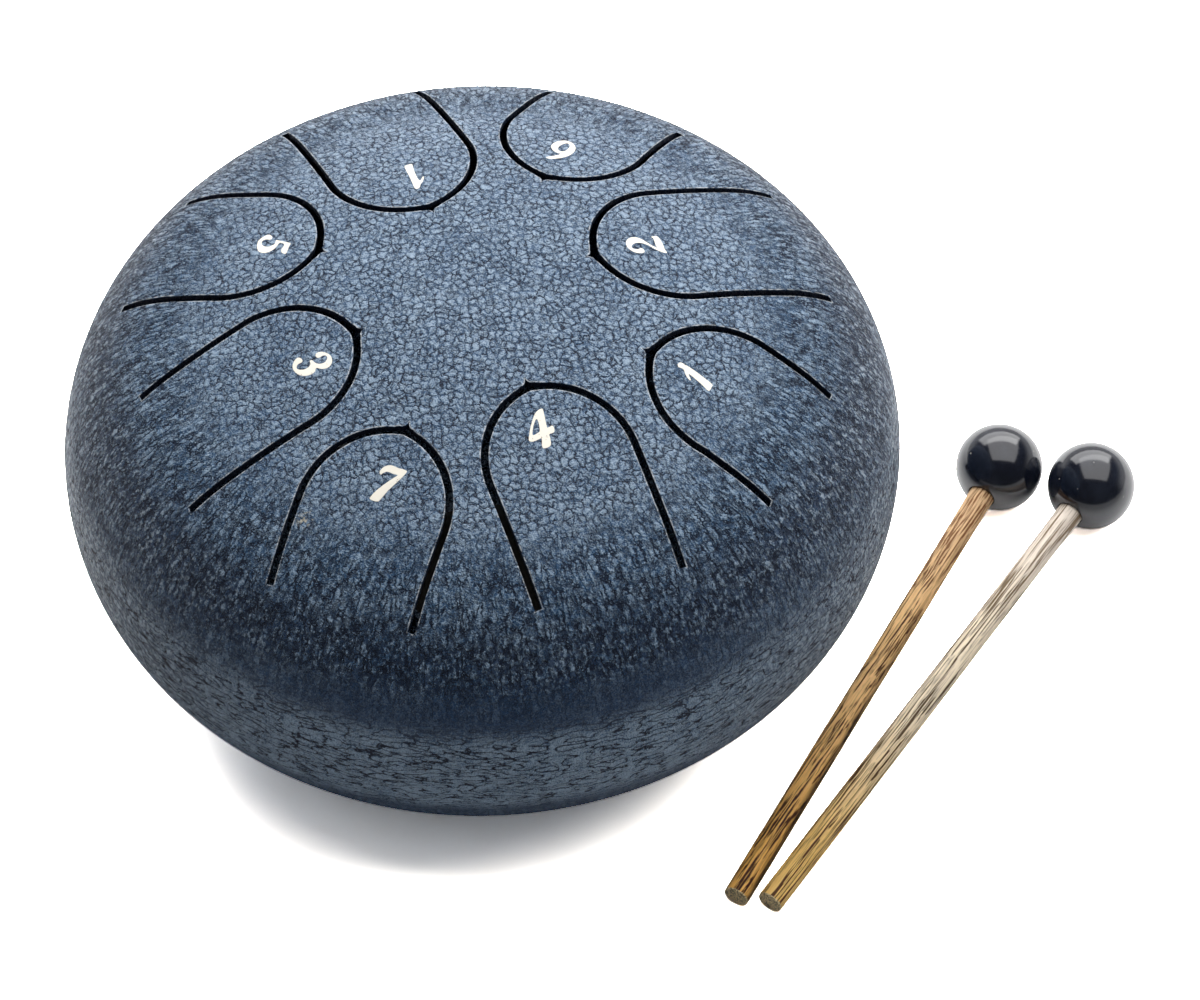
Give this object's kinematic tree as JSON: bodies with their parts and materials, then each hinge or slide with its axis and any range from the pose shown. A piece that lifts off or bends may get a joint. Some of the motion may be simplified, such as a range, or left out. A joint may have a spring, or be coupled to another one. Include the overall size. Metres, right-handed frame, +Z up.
{
  "type": "steel tongue drum",
  "caption": "Small steel tongue drum of welded domes, tongues cut into the top, a sound hole and rubber feet below, with wooden mallets that have rubber balls.",
  "frame": {"origin": "middle of the whole set's outline, on the table that it stands on", "axes": "+Z up; +X from the drum towards the mallets beside it; +Y away from the viewer"},
  "size_m": [0.2038, 0.155, 0.0905],
  "materials": {
    "shell_paint": "steel-blue crackle paint with a satin sheen",
    "weld_steel": "bare weld root, dull",
    "fastener_steel": "zinc plated",
    "foot_rubber": "matt black",
    "ball_rubber": "glossy black",
    "brown_wood": "brown, coarse grain, bare",
    "grey_wood": "pale greyish tan, coarse grain, bare"
  },
  "bodies": {
    "drum": {"top_shell": "shell_paint", "bottom_shell": "shell_paint", "seam_weld": "weld_steel", "foot_1": "foot_rubber", "foot_2": "foot_rubber", "foot_3": "foot_rubber", "foot_4": "foot_rubber", "foot_washer_1": "fastener_steel", "foot_washer_2": "fastener_steel", "foot_washer_3": "fastener_steel", "foot_washer_4": "fastener_steel", "foot_screw_1": "fastener_steel", "foot_screw_2": "fastener_steel", "foot_screw_3": "fastener_steel", "foot_screw_4": "fastener_steel", "foot_nut_1": "fastener_steel", "foot_nut_2": "fastener_steel", "foot_nut_3": "fastener_steel", "foot_nut_4": "fastener_steel"},
    "mallet_left": {"mallet_stick_left": "brown_wood", "mallet_head_left": "ball_rubber"},
    "mallet_right": {"mallet_stick_right": "grey_wood", "mallet_head_right": "ball_rubber"}
  },
  "joints": [
    {"name": "left_mallet_lift", "type": "slide", "parent": "drum", "child": "mallet_left", "axis": [0.1504, -0.0868, 0.9848], "range_m": [0, 0.15]},
    {"name": "right_mallet_lift", "type": "slide", "parent": "drum", "child": "mallet_right", "axis": [0.1504, -0.0868, 0.9848], "range_m": [0, 0.15]}
  ]
}
